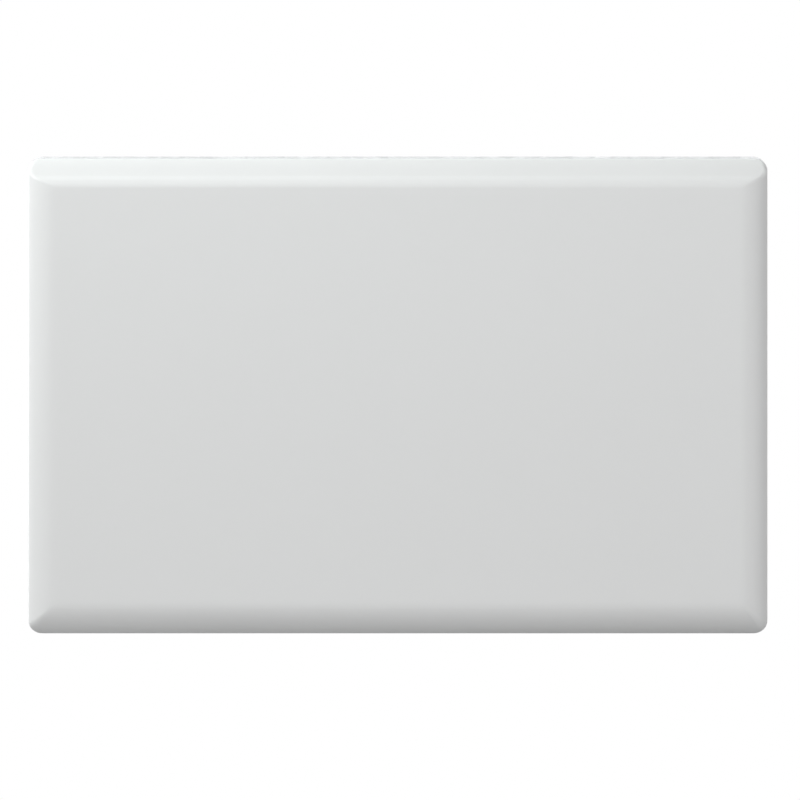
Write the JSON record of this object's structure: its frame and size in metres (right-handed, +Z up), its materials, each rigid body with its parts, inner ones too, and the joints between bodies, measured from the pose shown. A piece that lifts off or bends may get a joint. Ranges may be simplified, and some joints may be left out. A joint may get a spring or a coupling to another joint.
{
  "type": "panel heater",
  "caption": "Low wall-mounted convector panel heater: smooth pressed front with a bevelled top, hidden top controls, X-shaped element and a hook-on wall bracket with turn locks.",
  "frame": {"origin": "centre of the wall bracket's four screw slots, on the wall plane", "axes": "+X to the right seen from the room, +Y into the wall, +Z up; the front faces -Y"},
  "size_m": [0.62, 0.085, 0.4],
  "materials": {
    "powder_white": "powder coat, satin",
    "galvanised": "hot-dip galvanised, dull spangle",
    "zinc_steel": "bright zinc plated",
    "stainless": "drawn stainless steel",
    "aluminium": "extruded, mill finish",
    "shield_foil": "bright rolled sheet",
    "ceramic": "unglazed ceramic",
    "rubber_black": "moulded rubber",
    "plastic_grey": "moulded, fine texture",
    "plastic_white": "moulded, fine texture",
    "plastic_black": "moulded, fine texture",
    "brass": "plain",
    "board_green": "solder mask",
    "relay_blue": "moulded",
    "lead_brown": "silicone insulation",
    "lead_grey": "silicone insulation",
    "lead_earth": "silicone insulation",
    "lens_amber": "clear moulded"
  },
  "bodies": {
    "bracket": {"rail_left": "zinc_steel", "rail_right": "zinc_steel", "crossbar_upper": "zinc_steel", "crossbar_lower": "zinc_steel", "crossbar_rivets": "aluminium", "lock_pivots": "zinc_steel"},
    "heater": {"front_cover": "powder_white", "back_plate": "galvanised", "cover_screws": "zinc_steel", "element_fins": "aluminium", "element_rod": "stainless", "element_insulators": "ceramic", "element_studs": "zinc_steel", "element_tabs": "brass", "element_nuts": "brass", "element_bracket_left": "galvanised", "element_bracket_right": "galvanised", "element_bushes": "ceramic", "heat_shield": "shield_foil", "sheet_rivets": "aluminium", "overheat_cutouts": "ceramic", "control_housing": "plastic_grey", "control_lid": "plastic_grey", "control_fascia": "plastic_grey", "potentiometer": "plastic_black", "switch_body": "plastic_black", "switch_spades": "brass", "indicator_lens": "lens_amber", "control_board": "board_green", "relay": "relay_blue", "power_module": "plastic_black", "capacitors": "plastic_black", "board_terminals": "board_green", "short_screws": "zinc_steel", "lid_screws": "zinc_steel", "connection_box": "plastic_white", "connection_lid": "plastic_white", "cord_gland": "plastic_white", "gland_nut": "plastic_white", "terminal_block": "plastic_white", "terminal_screws": "brass", "cord_clamp": "plastic_white", "earth_stud": "zinc_steel", "earth_fixings": "brass", "lead_grommet": "rubber_black", "supply_leads": "lead_brown", "heater_leads": "lead_grey", "earth_lead": "lead_earth", "room_sensor": "plastic_black", "sensor_clip": "galvanised", "hangers": "zinc_steel", "hanger_pins": "zinc_steel", "keepers": "zinc_steel", "chassis_screws": "zinc_steel", "rear_buffers": "rubber_black"},
    "dial": {"thermostat_wheel": "plastic_white", "dial_shaft": "aluminium"},
    "rocker": {"switch_rocker": "plastic_white"},
    "lock_left": {"lock_left": "plastic_grey"},
    "lock_right": {"lock_right": "plastic_grey"}
  },
  "joints": [
    {"name": "swing", "type": "hinge", "parent": "bracket", "child": "heater", "pos_m": [0, -0.02, 0.165], "axis": [-1, 0, 0], "range_deg": [0, 35]},
    {"name": "lock_left_turn", "type": "hinge", "parent": "bracket", "child": "lock_left", "pos_m": [-0.18, -0.008, -0.158], "axis": [0, 0, 1], "range_deg": [0, 90]},
    {"name": "lock_right_turn", "type": "hinge", "parent": "bracket", "child": "lock_right", "pos_m": [0.18, -0.008, -0.158], "axis": [0, 0, -1], "range_deg": [0, 90]},
    {"name": "dial_turn", "type": "hinge", "parent": "heater", "child": "dial", "pos_m": [0.246, -0.04534, 0.1814], "axis": [0, 1, 0], "range_deg": [-135, 135]},
    {"name": "rocker_tilt", "type": "hinge", "parent": "heater", "child": "rocker", "pos_m": [0.279, -0.04534, 0.1928], "axis": [0, -1, 0], "range_deg": [0, 14]}
  ]
}
